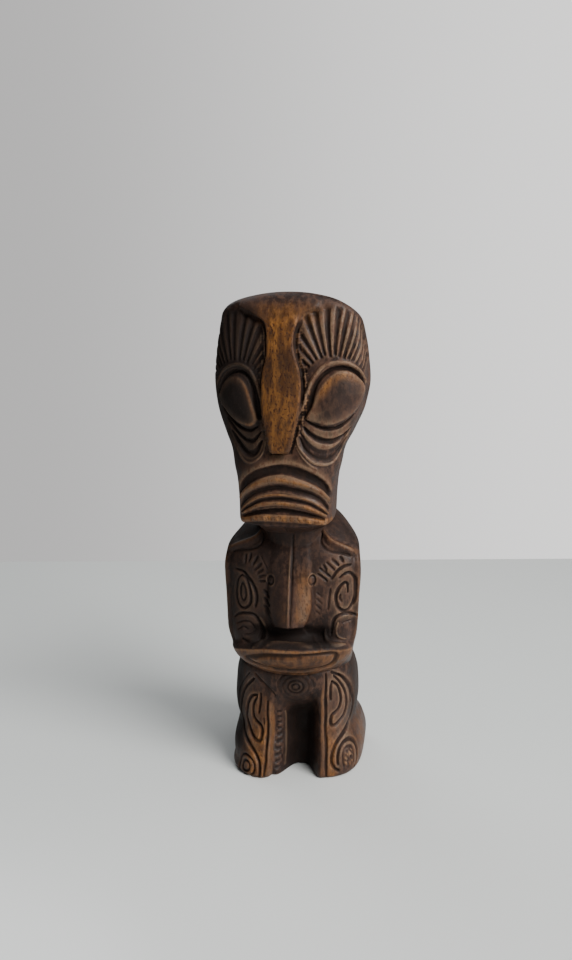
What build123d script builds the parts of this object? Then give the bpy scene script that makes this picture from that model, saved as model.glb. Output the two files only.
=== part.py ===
"""Small carved tiki figure: three wooden blocks pegged together on two hidden dowels.

Frame: origin at the centre of the peg axis on the resting face, +Z up, the figure looks along -Y.
Every block is a loft through tilted sections.  Features are cut to a constant depth by
subtracting a tool that has first been trimmed by a smaller copy of the same block.
"""
from build123d import *
import math
import os

# ---- driving dimensions, millimetres -----------------------------------------------------
HEIGHT = 120.0                 # floor to crown
NECK_SEAM = 61.5               # head meets torso
WAIST_SEAM = 27.5              # torso meets lower body
HEAD_TURN = -6.0               # degrees about +Z, the face looks slightly towards -X

NECK_DOWEL_DIAMETER = 5.0
NECK_DOWEL_LENGTH = 16.0
WAIST_DOWEL_DIAMETER = 6.0
WAIST_DOWEL_LENGTH = 18.0
DOWEL_END_CHAMFER = 0.5

NOSE_RIDGE_RISE = 1.3          # plateau above the face
FACE_LINE_DEPTH = 0.9          # rays, eye sockets and frown grooves
CHEST_LINE_DEPTH = 0.8
LEG_LINE_DEPTH = 0.7
LINE_WIDTH = 0.7               # grooves on the chest and the legs
FROWN_WIDTH = 1.3              # grooves of the mouth
LIP_REACH = 17.6               # the chest mask's lower lip, forward of the peg axis

RAY_COUNT = 9                  # gouged rays above each eye
RAY_START_ANGLE = 28.0         # first ray, degrees above level
RAY_SWEEP = 118.0              # from the first ray to the last
RAY_START = 7.0                # distances from the rays' centre
RAY_END = 14.0
RAY_TOP = 115.0                # no ray reaches higher
RAY_HALF_WIDTH = 0.55          # at the wide outer end

FOOT_SHIFT = 0.8               # the feet stand this far to the +X side of the peg axis
FOOT_SHIFT_TOP = 12.0          # and the legs are back on it at this height

LEG_GAP_LEFT = -3.6            # channel between the legs
LEG_GAP_RIGHT = 5.4
LEG_GAP_TOP = 20.5
LEG_GAP_BOTTOM_Y = -8.5        # how far back the channel reaches
LEG_GAP_CORNER = 2.4
LEG_GAP_REACH = 40.0           # the channel's tool runs out past the front
LEG_GAP_BELOW = 10.0           # and past the resting face
FOOT_NOTCH_RADIUS = 5.5        # round bite in the resting face between the feet
FOOT_NOTCH_HEIGHT = 5.0
FOOT_NOTCH_SETBACK = 2.0       # its centre lies in front of the channel's back wall

FRONT = 60.0                   # tools come in from this far in front
TOOL_END_Y = -8.0              # and stop here, so they never reach round to the back
SECTION_POINTS = 28

# Sections from bottom to top: height at the front, height at the back, half width,
# y of the widest place, reach to the front, reach to the back, squareness front and back.
HEAD_SECTIONS = [
    (NECK_SEAM, NECK_SEAM, 8.2, -1.0, 10.5, 8.0, 2.3, 2.2),
    (63.6, 64.6, 8.9, -4.0, 8.8, 12.0, 2.3, 2.1),
    (65.8, 67.5, 10.4, -8.0, 8.4, 17.0, 2.5, 2.0),
    (67.2, 70.0, 11.7, -10.5, 8.0, 20.0, 3.0, 2.0),
    (70.0, 73.5, 11.6, -10.5, 7.8, 21.0, 3.0, 2.0),
    (75.0, 78.5, 12.1, -10.5, 7.6, 22.0, 3.0, 2.0),
    (80.0, 83.0, 13.4, -10.0, 8.0, 22.6, 2.8, 2.1),
    (86.0, 88.0, 15.8, -10.0, 8.0, 23.8, 2.5, 2.1),
    (93.0, 94.0, 18.1, -9.8, 8.0, 24.3, 2.4, 2.2),
    (99.5, 99.5, 18.9, -9.0, 8.4, 23.6, 2.4, 2.2),
    (106.0, 105.0, 18.3, -9.0, 8.2, 22.6, 2.5, 2.2),
    (111.5, 108.5, 17.6, -9.0, 7.8, 20.6, 2.6, 2.2),
    (115.0, 111.0, 16.9, -9.0, 6.8, 18.0, 2.7, 2.2),
    (117.6, 113.5, 14.6, -9.0, 5.5, 15.0, 2.6, 2.2),
    (119.3, 116.0, 10.6, -9.0, 4.0, 11.6, 2.5, 2.2),
    (HEIGHT, 118.2, 6.0, -8.4, 2.2, 6.6, 2.2, 2.2),
]
TORSO_SECTIONS = [
    (WAIST_SEAM, WAIST_SEAM, 14.2, 0.0, 13.5, 16.8, 2.4, 2.2),
    (30.0, 30.0, 14.5, -4.0, 10.8, 20.4, 2.6, 2.1),
    (33.0, 33.0, 14.8, -7.5, 8.6, 23.9, 2.8, 2.1),
    (38.0, 38.0, 15.8, -8.5, 7.4, 25.1, 3.0, 2.1),
    (46.0, 46.0, 16.2, -8.5, 6.6, 25.1, 3.0, 2.1),
    (53.0, 53.5, 16.6, -8.5, 6.2, 24.5, 3.0, 2.1),
    (57.5, 58.5, 16.3, -7.5, 6.2, 22.5, 2.6, 2.1),
    (61.0, 63.0, 14.0, -5.5, 5.6, 19.0, 2.3, 2.1),
    (64.0, 66.2, 10.6, -2.5, 5.0, 13.5, 2.2, 2.1),
    (66.0, 67.6, 6.8, 1.0, 3.5, 7.5, 2.1, 2.1),
]
LEG_SECTIONS = [
    (0.0, 0.0, 16.2, 3.5, 18.5, 13.0, 3.8, 2.6),
    (1.0, 1.0, 17.0, 4.0, 19.8, 12.8, 3.8, 2.6),
    (5.0, 5.0, 17.4, 5.5, 20.6, 12.1, 3.6, 2.6),
    (9.0, 9.0, 16.7, 5.5, 20.0, 11.8, 3.2, 2.4),
    (12.0, 12.0, 15.8, 4.0, 18.4, 13.0, 2.8, 2.3),
    (17.0, 17.0, 16.1, 2.5, 16.7, 14.9, 2.7, 2.3),
    (22.0, 22.0, 15.9, 2.0, 15.9, 15.6, 2.5, 2.2),
    (WAIST_SEAM, WAIST_SEAM, 14.2, 0.0, 13.5, 16.8, 2.4, 2.2),
]


def section_face(section, grow, shift):
    """One planar section of a block, larger by grow and moved sideways by shift."""
    z_front, z_back, half_width, centre_y, front, back, power_front, power_back = section
    front_y = centre_y - front
    back_y = centre_y + back
    points = []
    for i in range(SECTION_POINTS):
        angle = 2 * math.pi * i / SECTION_POINTS
        side = math.sin(angle)
        ahead = math.cos(angle)
        reach = (front if ahead >= 0 else back) + grow
        power = power_front if ahead >= 0 else power_back
        width_part = (abs(side) / (half_width + grow)) ** power
        depth_part = (abs(ahead) / reach) ** power
        radius = (width_part + depth_part) ** (-1 / power)
        x = radius * side + shift
        y = centre_y - radius * ahead
        z = z_front + (z_back - z_front) * (y - front_y) / (back_y - front_y)
        points.append((x, y, z))
    return Face(Wire([Spline(*points, periodic=True)]))


def block(sections, grow=0.0, foot_shift=0.0):
    """A carved block, lofted through its sections; its foot may stand a little to one side."""
    faces = []
    for section in sections:
        height = section[0]
        shift = foot_shift * max(0.0, 1.0 - height / FOOT_SHIFT_TOP)
        faces.append(section_face(section, grow, shift))
    return loft(faces)


def from_front(outline_points, closed_curve=False):
    """A tool whose front view is the outline, given as (x, z) points."""
    path = [(x, -FRONT, z) for x, z in outline_points]
    if closed_curve:
        wire = Wire([Spline(*path, periodic=True)])
    else:
        wire = Wire.make_polygon(path, close=True)
    face = Face(wire)
    return extrude(face, amount=FRONT + TOOL_END_Y, dir=(0, 1, 0))


def band_from_front(centre_x, centre_z, radius, width, start_angle, end_angle, steps=12):
    """An arc-shaped tool: a band of constant width about a circle seen from the front."""
    outer = []
    inner = []
    for i in range(steps + 1):
        angle = math.radians(start_angle + (end_angle - start_angle) * i / steps)
        for ring, r in ((outer, radius + width / 2), (inner, radius - width / 2)):
            ring.append((centre_x + r * math.cos(angle), centre_z + r * math.sin(angle)))
    return from_front(outer + inner[::-1])


def recess(solid, tools, core):
    """Cut the tools into a block as far as its core, a smaller copy of the block."""
    for tool in tools:
        solid = solid - (tool - core)
    return solid


def ring_tool(centre_x, centre_z, radius, width):
    """A round groove tool seen from the front."""
    length = FRONT + TOOL_END_Y
    place = Pos(centre_x, TOOL_END_Y - length / 2, centre_z) * Rot(90, 0, 0)
    return place * (Cylinder(radius + width / 2, length) - Cylinder(radius - width / 2, length))


# ---- head --------------------------------------------------------------------------------
def nose_ridge():
    """Long flat-topped ridge from the forehead down to above the mouth."""
    outline = [(-7.0, 115.5), (-4.2, 112.5), (-3.2, 107.0), (-4.3, 99.0), (-4.6, 93.0),
               (-2.6, 83.5), (2.6, 83.5), (4.6, 93.0), (4.3, 99.0), (3.2, 107.0),
               (4.2, 112.5), (7.0, 115.5)]
    return from_front(outline) & block(HEAD_SECTIONS, grow=NOSE_RIDGE_RISE)


def fan_tools(side):
    """Rays that spread upwards from the brow above one eye."""
    tools = []
    centre = (side * 10.5, 97.5)
    for i in range(RAY_COUNT):
        angle = math.radians(RAY_START_ANGLE + RAY_SWEEP * i / (RAY_COUNT - 1))
        along = (side * math.cos(angle), math.sin(angle))
        aside = (-along[1] * RAY_HALF_WIDTH, along[0] * RAY_HALF_WIDTH)
        reach = min(RAY_END, (RAY_TOP - centre[1]) / along[1])
        tip = (centre[0] + RAY_START * along[0], centre[1] + RAY_START * along[1])
        end = (centre[0] + reach * along[0], centre[1] + reach * along[1])
        corners = [tip, (end[0] + aside[0], end[1] + aside[1]), (end[0] - aside[0], end[1] - aside[1])]
        tools.append(from_front(corners))
    return tools


def eye_socket(side):
    """Teardrop ring around the eyeball of one eye."""
    outline = [(5.2, 88.5), (6.6, 95.0), (9.5, 100.0), (13.5, 101.6), (17.3, 98.0), (16.0, 91.0),
               (12.5, 87.4), (8.5, 86.6)]
    centre_x, centre_z = 11.4, 94.0
    eyeball_share = 0.78
    outer = []
    inner = []
    for x, z in outline:
        outer.append((side * x, z))
        inner.append((side * (centre_x + eyeball_share * (x - centre_x)),
                      centre_z + eyeball_share * (z - centre_z)))
    return from_front(outer, closed_curve=True) - from_front(inner, closed_curve=True)


def mouth_tools():
    """Three frown grooves above the lower lip."""
    return [band_from_front(0.0, centre_z, radius, FROWN_WIDTH, 40, 140)
            for centre_z, radius in ((67.5, 13.0), (65.0, 12.2), (62.6, 11.4))]


def make_head():
    solid = block(HEAD_SECTIONS)
    tools = mouth_tools()
    for side in (-1, 1):
        tools.append(eye_socket(side))
        tools.extend(fan_tools(side))
    solid = recess(solid, tools, block(HEAD_SECTIONS, grow=-FACE_LINE_DEPTH))
    solid = solid + nose_ridge()
    return Rot(0, 0, HEAD_TURN) * solid


# ---- torso -------------------------------------------------------------------------------
def neck():
    """Short oval neck that carries the chin, flush with the neck seam."""
    lower = Pos(0, -1, 50) * Ellipse(9.6, 12.5)
    upper = Pos(0, -1, NECK_SEAM) * Ellipse(8.2, 10.5)
    return loft([lower.face(), upper.face()])


def chest_nose():
    """Wedge nose of the chest mask, widest at its foot."""
    foot = Polygon((-5.0, 8.0), (5.0, 8.0), (3.8, -3.4), (0.0, -4.2), (-3.8, -3.4), align=None)
    top = Polygon((-3.0, 8.0), (3.0, 8.0), (1.6, 1.6), (0.0, 0.4), (-1.6, 1.6), align=None)
    return loft([(Pos(0, -14.0, 39.6) * foot).face(), (Pos(0, -14.0, 60.0) * top).face()])


def chest_lip():
    """Boat-shaped lower lip that stands out under the chest mask."""
    outline = [(-15.2, 35.6), (15.2, 35.6), (13.0, 32.2), (8.0, 29.2), (0.0, 28.0), (-8.0, 29.2),
               (-13.0, 32.2)]
    oval = Pos(0, 0, 32.0) * extrude(Ellipse(17.0, LIP_REACH), amount=10, both=True)
    return from_front(outline) & oval


def chest_tools():
    """Eye and cheek rings on both sides, and the line above the lip."""
    tools = []
    for side in (-1, 1):
        tools.append(band_from_front(side * 11.3, 52.0, 3.6, LINE_WIDTH, 0, 350, 20))
        tools.append(ring_tool(side * 11.6, 41.5, 2.8, LINE_WIDTH))
    tools.append(from_front([(-13.8, 36.4), (13.8, 36.4), (13.0, 37.4), (-13.0, 37.4)]))
    return tools


def make_torso():
    core = block(TORSO_SECTIONS, grow=-CHEST_LINE_DEPTH)
    solid = recess(block(TORSO_SECTIONS), chest_tools(), core)
    return solid + chest_nose() + chest_lip() + neck()


# ---- lower body --------------------------------------------------------------------------
def leg_gap():
    """Channel between the legs, open to the front, with the notch between the feet."""
    width = LEG_GAP_RIGHT - LEG_GAP_LEFT
    middle = (LEG_GAP_RIGHT + LEG_GAP_LEFT) / 2
    tool = Box(width, LEG_GAP_REACH, LEG_GAP_TOP + LEG_GAP_BELOW)
    place = Pos(middle, LEG_GAP_BOTTOM_Y - LEG_GAP_REACH / 2, (LEG_GAP_TOP - LEG_GAP_BELOW) / 2)
    channel = place * tool
    channel = fillet(channel.edges().filter_by(Axis.Z).sort_by(Axis.Y)[-2:], LEG_GAP_CORNER)
    channel = fillet(channel.edges().filter_by(Axis.Y).sort_by(Axis.Z)[-2:], LEG_GAP_CORNER)
    notch = Pos(middle, LEG_GAP_BOTTOM_Y - FOOT_NOTCH_SETBACK, 0)
    notch = notch * Cylinder(FOOT_NOTCH_RADIUS, FOOT_NOTCH_HEIGHT)
    return channel + notch


def leg_tools():
    """Navel rings, foot rings and a long curve down the front of each leg."""
    tools = [ring_tool(1.0, 23.2, radius, LINE_WIDTH) for radius in (1.2, 2.7)]
    tools += [ring_tool(-12.0, 3.6, radius, LINE_WIDTH) for radius in (1.3, 2.8)]
    tools.append(ring_tool(12.6, 5.6, 2.4, LINE_WIDTH))
    tools.append(band_from_front(-8.4, 14.0, 4.4, LINE_WIDTH, 70, 250))
    tools.append(band_from_front(10.6, 16.4, 4.4, LINE_WIDTH, -70, 110))
    return tools


def make_lower_body():
    core = block(LEG_SECTIONS, grow=-LEG_LINE_DEPTH, foot_shift=FOOT_SHIFT)
    solid = recess(block(LEG_SECTIONS, foot_shift=FOOT_SHIFT), leg_tools(), core)
    return solid - leg_gap()


# ---- dowels and their holes --------------------------------------------------------------
def dowel(diameter, length, seam_z):
    peg = Pos(0, 0, seam_z) * Cylinder(diameter / 2, length)
    return chamfer(peg.edges(), DOWEL_END_CHAMFER)


def dowel_hole(diameter, length, seam_z):
    return Pos(0, 0, seam_z) * Cylinder(diameter / 2, length)


def build():
    neck_hole = dowel_hole(NECK_DOWEL_DIAMETER, NECK_DOWEL_LENGTH, NECK_SEAM)
    waist_hole = dowel_hole(WAIST_DOWEL_DIAMETER, WAIST_DOWEL_LENGTH, WAIST_SEAM)
    torso = make_torso()
    head = make_head() - torso
    return {
        "head": head - neck_hole,
        "torso": torso - neck_hole - waist_hole,
        "lower_body": make_lower_body() - waist_hole,
        "neck_dowel": dowel(NECK_DOWEL_DIAMETER, NECK_DOWEL_LENGTH, NECK_SEAM),
        "waist_dowel": dowel(WAIST_DOWEL_DIAMETER, WAIST_DOWEL_LENGTH, WAIST_SEAM),
    }


os.makedirs("parts", exist_ok=True)
for name, shape in build().items():
    export_step(shape, f"parts/{name}.step")
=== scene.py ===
"""Looks of a small carved tiki figure: three hand-carved, dark stained wooden blocks.

Each block is a closed grid of points that replaces the CAD block of the same name.  Its rings
give the plain block.  The carving is then pushed in and out along the surface, as lines and
outlines placed by (across, up): the distance round the block from the middle of the front, and
the height, both in millimetres.  The two dowels keep their CAD shape.
"""
import math
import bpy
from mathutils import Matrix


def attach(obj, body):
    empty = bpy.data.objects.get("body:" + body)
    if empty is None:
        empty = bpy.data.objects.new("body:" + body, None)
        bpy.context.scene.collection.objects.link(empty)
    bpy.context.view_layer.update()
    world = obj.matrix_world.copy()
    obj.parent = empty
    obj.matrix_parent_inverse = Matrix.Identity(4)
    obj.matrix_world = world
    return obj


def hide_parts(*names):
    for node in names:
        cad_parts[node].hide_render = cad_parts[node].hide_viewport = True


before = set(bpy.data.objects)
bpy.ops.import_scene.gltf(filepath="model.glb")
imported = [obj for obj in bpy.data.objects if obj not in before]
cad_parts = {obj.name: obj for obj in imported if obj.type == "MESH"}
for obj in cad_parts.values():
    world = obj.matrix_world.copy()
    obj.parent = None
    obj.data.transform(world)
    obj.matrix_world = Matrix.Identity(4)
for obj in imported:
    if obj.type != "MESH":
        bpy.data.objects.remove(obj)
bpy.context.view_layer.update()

from types import SimpleNamespace

import bpy
import numpy as np
from mathutils import Vector

MM = 0.001
HEAD_TURN = -6                 # degrees about +Z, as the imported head
FRONT_SPACING = 0.22           # grid step on the carved front
BACK_SPACING = 0.65            # grid step on the plain back
SPACING_FADE = 3               # the step changes from one to the other over this length
RING_SAMPLES = 900             # fine rings, from which the rows are chosen
ANGLE_SAMPLES = 1441           # fine angles, from which the columns are chosen
FOOT_SHIFT = 0.8               # the feet stand this far to the +X side of the peg axis
FOOT_SHIFT_TOP = 12            # and the legs are back on it at this height
HAND_WANDER = 0.12             # head and torso lines stray this much

# Rings from bottom to top: height at the front, height at the back, half width, y of the
# widest place, reach to the front, reach to the back, squareness front and back.
HEAD_RINGS = [
    (57.5, 57.5, 8, -1, 10.6, 8, 2.3, 2.2),
    (60.5, 60.5, 8.3, -1, 11.4, 8, 2.3, 2.2),
    (62, 62.6, 8.6, -2, 10.9, 10, 2.3, 2.2),
    (63.2, 64.4, 9.2, -4, 10.2, 12, 2.4, 2.1),
    (64.4, 66.8, 10.3, -7, 9.6, 16, 2.7, 2),
    (65.3, 69.2, 11.5, -10.5, 7.9, 20, 3, 2),
    (69, 73, 11.6, -10.5, 7.8, 21, 3, 2),
    (75, 78.5, 12.1, -10.5, 7.6, 22, 3, 2),
    (80, 83, 13.6, -10, 8, 22.6, 2.8, 2.1),
    (86, 88, 16.1, -10, 8, 23.8, 2.5, 2.1),
    (93, 94, 18.4, -9.8, 8, 24.3, 2.4, 2.2),
    (99.5, 99.5, 19.3, -9, 8.4, 23.6, 2.4, 2.2),
    (106, 105, 18.8, -9, 8.2, 22.6, 2.5, 2.2),
    (111.5, 108.5, 18, -9, 7.8, 20.6, 2.6, 2.2),
    (115.2, 111, 17.2, -9, 6.8, 18, 2.7, 2.2),
    (117.8, 113.5, 14.8, -9, 5.5, 15, 2.6, 2.2),
    (119.3, 116, 10, -9, 4, 11.4, 2.4, 2.2),
    (119.9, 118, 4.8, -8.4, 2.1, 6, 2.2, 2.2),
    (119.8, 119.7, 0.1, -8, 0.1, 0.1, 2, 2),
]
TORSO_RINGS = [
    (27.5, 27.5, 13.6, 0, 12.9, 16.2, 2.4, 2.2),
    (27.7, 27.7, 14.2, 0, 13.5, 16.8, 2.4, 2.2),
    (30, 30, 14.5, -4, 10.8, 20.4, 2.6, 2.1),
    (33, 33, 14.8, -7.5, 8.6, 23.9, 2.8, 2.1),
    (38, 38, 15.8, -8.5, 7.4, 25.1, 3, 2.1),
    (46, 46, 16.2, -8.5, 6.6, 25.1, 3, 2.1),
    (53, 53.5, 16.6, -8.5, 6.2, 24.5, 3, 2.1),
    (57.5, 58.5, 16.3, -7.5, 6.2, 22.5, 2.6, 2.1),
    (61, 63, 14, -5.5, 5.6, 19, 2.3, 2.1),
    (64, 66.2, 10.6, -2.5, 5, 13.5, 2.2, 2.1),
    (66, 67.6, 6.8, 1, 3.5, 7.5, 2.1, 2.1),
    (66.9, 67, 0.1, 3, 0.1, 0.1, 2, 2),
]
LEG_RINGS = [
    (0, 0, 14.8, 3.3, 18, 12.2, 3.4, 2.6),
    (0, 0, 16, 3.5, 19, 13, 3.4, 2.6),
    (1, 1, 16.9, 4, 20.2, 12.8, 3.4, 2.6),
    (5, 5, 17.6, 5.5, 20.8, 12.1, 3.5, 2.6),
    (9, 9, 16.8, 5.5, 20, 11.8, 3.2, 2.4),
    (12, 12, 15.7, 4, 18.4, 13, 2.8, 2.3),
    (17, 17, 16.1, 2.5, 16.7, 14.9, 2.7, 2.3),
    (22, 22, 15.9, 2, 15.9, 15.6, 2.5, 2.2),
    (27.3, 27.3, 14.3, 0, 13.6, 16.9, 2.4, 2.2),
    (27.5, 27.5, 13.7, 0, 13, 16.3, 2.4, 2.2),
]


# ---- small number helpers ----
def smooth(low, high, value):
    """0 below low, 1 above high, with an even S between them."""
    part = np.clip((value - low) / (high - low), 0, 1)
    return part * part * (3 - 2 * part)


def band(value, start, full, fade, end):
    """1 from full to fade, 0 below start and above end."""
    return smooth(start, full, value) * smooth(end, fade, value)


def stripe(value, middle, full, edge):
    """1 within full of the middle, 0 farther from it than edge."""
    return smooth(edge, full, np.abs(value - middle))


def through(knots, values, wanted):
    """A curve through given values that never overshoots them."""
    knots = np.asarray(knots, float)
    values = np.asarray(values, float)
    flat = values.ndim == 1
    if flat:
        values = values[:, None]
    gap = np.diff(knots)
    slope = np.diff(values, axis=0) / gap[:, None]
    tangent = np.zeros_like(values)
    tangent[[0, -1]] = slope[[0, -1]]
    before, after = slope[:-1], slope[1:]
    same = before * after > 0
    total = np.where(same, before + after, 1)
    tangent[1:-1] = np.where(same, 2 * before * after / total, 0)
    place = np.clip(np.searchsorted(knots, wanted) - 1, 0, len(gap) - 1)
    t = ((np.clip(wanted, knots[0], knots[-1]) - knots[place]) / gap[place])[..., None]
    a, b = values[place], values[place + 1]
    ta, tb = tangent[place] * gap[place][..., None], tangent[place + 1] * gap[place][..., None]
    result = ((2 * t**3 - 3 * t**2 + 1) * a + (t**3 - 2 * t**2 + t) * ta
              + (3 * t**2 - 2 * t**3) * b + (t**3 - t**2) * tb)
    return result[..., 0] if flat else result


def level_on(line, place):
    """The second value of a line of pairs, where its first value is place."""
    places, values = zip(*line)
    return through(places, values, place)


def path(points, closed=False, steps=8):
    """A smooth line through given points."""
    points = np.asarray(points, float)
    if closed:
        padded = np.vstack([points[-1], points, points[0], points[1]])
    else:
        padded = np.vstack([2 * points[0] - points[1], points, 2 * points[-1] - points[-2]])
    pieces = []
    for a, b, c, d in zip(padded[:-3], padded[1:-2], padded[2:-1], padded[3:]):
        t = np.linspace(0, 1, steps, endpoint=False)[:, None]
        pieces.append(0.5 * (2 * b + (c - a) * t + (2 * a - 5 * b + 4 * c - d) * t**2
                             + (3 * b - a - 3 * c + d) * t**3))
    line = np.vstack(pieces)
    return np.vstack([line, line[:1] if closed else points[-1:]])


def waves(points, size, seed):
    """Soft, repeatable unevenness between about -1 and 1, with bumps of the given size."""
    random = np.random.default_rng(seed)
    total = np.zeros(points.shape[:-1])
    for _ in range(7):
        direction = random.normal(size=3)
        direction *= 2 * math.pi / (size * random.uniform(0.7, 1.6) * np.linalg.norm(direction))
        total += np.sin(points @ direction + random.uniform(0, 2 * math.pi))
    return total / 3


def lengths_along(points):
    """Distance along a line of points, from the first of them to each."""
    steps = np.linalg.norm(np.diff(points, axis=0), axis=1)
    return np.concatenate([[0], np.cumsum(steps)])


def blur(values, passes):
    """Average a block's values with their neighbours, a number of times."""
    for _ in range(passes):
        values = (np.roll(values, 1, axis=1) + 2 * values + np.roll(values, -1, axis=1)) / 4
        ends = np.concatenate([values[:1], values, values[-1:]], axis=0)
        values = (ends[:-2] + 2 * ends[1:-1] + ends[2:]) / 4
    return values


# ---- a carved block ----
def ring_points(ring, angles):
    """Points round one ring; angle 0 is the middle of the front."""
    z_front, z_back, half_width, centre_y, front, back, power_front, power_back = ring
    side, ahead = np.sin(angles), np.cos(angles)
    reach = np.where(ahead >= 0, front, back)
    power = np.where(ahead >= 0, power_front, power_back)
    radius = ((np.abs(side) / half_width) ** power + (np.abs(ahead) / reach) ** power) ** (-1 / power)
    y = centre_y - radius * ahead
    share = (y - (centre_y - front)) / (front + back)
    return np.stack([radius * side, y, z_front + (z_back - z_front) * share], axis=-1)


def spread(position, low, high):
    """Places along a measured line, closer together between low and high."""
    middle = 0.5 * (position[1:] + position[:-1])
    inside = band(middle, low - SPACING_FADE, low, high, high + SPACING_FADE)
    step = FRONT_SPACING + (BACK_SPACING - FRONT_SPACING) * (1 - inside)
    count = np.concatenate([[0], np.cumsum(np.diff(position) / step)])
    places = np.linspace(0, count[-1], int(round(count[-1])) + 1)
    return np.interp(places, count, np.arange(len(position)))


class Block:
    """A closed grid of points in millimetres: rows go up, columns go round from the back."""

    def __init__(self, rings, widest, carved_width, carved_low, carved_high, foot_shift=0):
        rings = np.array(rings, float)
        knots = lengths_along(np.stack([rings[:, 0], rings[:, 2], rings[:, 3] - rings[:, 4]], axis=-1))
        fine = through(knots, rings, np.linspace(0, knots[-1], RING_SAMPLES))
        height = lengths_along(np.stack([fine[:, 0], fine[:, 3] - fine[:, 4]], axis=-1))
        carved = (fine[:, 0] >= carved_low) & (fine[:, 0] <= carved_high)
        rows = spread(height, height[carved][0], height[carved][-1])
        chosen = np.array([np.interp(rows, np.arange(RING_SAMPLES), values) for values in fine.T]).T

        angles = np.linspace(-math.pi, math.pi, ANGLE_SAMPLES)
        around = lengths_along(ring_points(rings[widest], angles))
        around -= around[ANGLE_SAMPLES // 2]
        columns = spread(around, -carved_width, carved_width)[:-1]
        angles = np.interp(columns, np.arange(ANGLE_SAMPLES), angles)

        self.points = np.array([ring_points(ring, angles) for ring in chosen])
        self.across = self.distance_across(angles)
        self.up = self.points[..., 2].copy()
        shift = foot_shift * np.clip(1 - self.up / FOOT_SHIFT_TOP, 0, 1)
        self.points[..., 0] += shift
        self.across += shift
        self.relief, self.wear_and_highlight, self.stain_and_shade, self.pale = np.zeros((4,) + self.up.shape)

    def distance_across(self, angles):
        """Distance round every row from the middle of the front."""
        step = np.linalg.norm(np.diff(self.points, axis=1), axis=2)
        across = np.concatenate([np.zeros((len(step), 1)), np.cumsum(step, axis=1)], axis=1)
        middle = np.interp(0, angles, np.arange(len(angles)))
        low = int(middle)
        share = middle - low
        return across - ((1 - share) * across[:, low] + share * across[:, low + 1])[:, None]

    def normals(self):
        wrapped = np.concatenate([self.points[:, -1:], self.points, self.points[:, :1]], axis=1)
        along = wrapped[:, 2:] - wrapped[:, :-2]
        upward = np.gradient(self.points, axis=0)
        normal = np.cross(along, upward)
        return normal / np.maximum(np.linalg.norm(normal, axis=2, keepdims=True), 1e-9)

    def push(self, amount):
        """Move the surface outwards by amount; a negative amount cuts in."""
        self.points += self.normals() * amount[..., None]

    def carve(self, amount):
        """The same for fine carving, which also decides where stain and painted shade collect in the
        cuts and where the stain wears off.
        """
        self.push(amount)
        self.relief += amount

    def lighten(self, amount):
        """Lighten towards the worn colour by this much, where it isn't lighter already: real wear in
        most places, painted highlight in some.
        """
        self.wear_and_highlight = np.maximum(self.wear_and_highlight, amount)

    def darken(self, amount):
        """Darken by this much, where it isn't darker already: real stain in some places, painted shade
        in others.
        """
        self.stain_and_shade = np.maximum(self.stain_and_shade, amount)


# ---- lines and outlines on a block ----
LINE_REACH = 4                 # places farther from a line than this count as FAR_AWAY
FAR_AWAY = 1e9


def near(across, up, line):
    """Distance from every point to a line, and how far along the line the nearest place is."""
    best = np.full(across.shape, FAR_AWAY)
    where = np.zeros(across.shape)
    low, high = line.min(axis=0) - LINE_REACH, line.max(axis=0) + LINE_REACH
    mask = (across > low[0]) & (across < high[0]) & (up > low[1]) & (up < high[1])
    if not mask.any():
        return best, where
    a, z = across[mask], up[mask]
    nearest, along = np.full(a.shape, FAR_AWAY), np.zeros(a.shape)
    last = len(line) - 1
    for i, (p, q) in enumerate(zip(line[:-1], line[1:])):
        d = q - p
        length = max(float(d @ d), 1e-12)
        t = np.clip(((a - p[0]) * d[0] + (z - p[1]) * d[1]) / length, 0, 1)
        away = np.hypot(a - p[0] - t * d[0], z - p[1] - t * d[1])
        closer = away < nearest
        nearest[closer] = away[closer]
        along[closer] = (i + t[closer]) / last
    best[mask] = nearest
    where[mask] = along
    return best, where


def within(across, up, outline):
    """Distance inside a closed outline, negative outside it."""
    away, _ = near(across, up, outline)
    inside = np.zeros(across.shape, bool)
    for p, q in zip(outline[:-1], outline[1:]):
        crosses = (p[1] > up) != (q[1] > up)
        if p[1] != q[1]:
            inside ^= crosses & (across < (q[0] - p[0]) * (up - p[1]) / (q[1] - p[1]) + p[0])
    return np.where(inside, away, -away)


def stroke(across, up, points, width, taper=0.5, flat=0):
    """A tool stroke along a line: 1 on the line, 0 at half its width, thinner at its ends."""
    away, along = near(across, up, path(points))
    half = 0.5 * width * (1 - taper * np.abs(2 * along - 1) ** 3)
    return smooth(1, flat, away / half)


def cuts(across, up, lines, taper=0.5, widen=1, flat=0):
    """Grooves added up, each given as its points, width and depth; a negative depth is proud."""
    total = np.zeros(across.shape)
    for points, width, depth in lines:
        total -= depth * stroke(across, up, points, widen * width, taper, flat)
    return total


def oval_ring(across, up, centre, radius, squash, width):
    """A ring-shaped groove, squash times taller than it is wide."""
    away = np.hypot(across - centre[0], (up - centre[1]) / squash)
    return stripe(away, radius, 0, width / 2)


# ---- head ----
# Nose ridge: height and half width.
RIDGE = [(82.9, 1.9), (84.3, 2.4), (87.7, 3.3), (92.5, 4.4), (98, 4.7), (101.5, 4.4), (104.1, 3.7),
         (107, 3.3), (110, 3.4), (112.3, 4), (114, 5), (115.3, 6.9), (116.4, 9.8)]
RIDGE_FOOT = 82.9
CROWN_EDGE = [(0, 114), (4.4, 115.4), (9.2, 116.7), (13.9, 116.5), (18.8, 115.2), (22, 113.2),
              (25, 109.5), (30, 103)]

RAY_CENTRE = {1: (12.4, 97.9), -1: (11.8, 96.9)}
RAY_COUNT = 15
RAY_FIRST = 150                # degrees from level, then evenly round to the last ray
RAY_LAST = 24
RAY_DEPTH = {1: 0.52, -1: 0.4}
PANEL_DEPTH = 0.9              # fans, eyes and cheeks lie this far behind the crown
LID_HEIGHT = 0.45
LID_GROOVE_DEPTH = 0.95
EYEBALL_HEIGHT = 0.65

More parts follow.
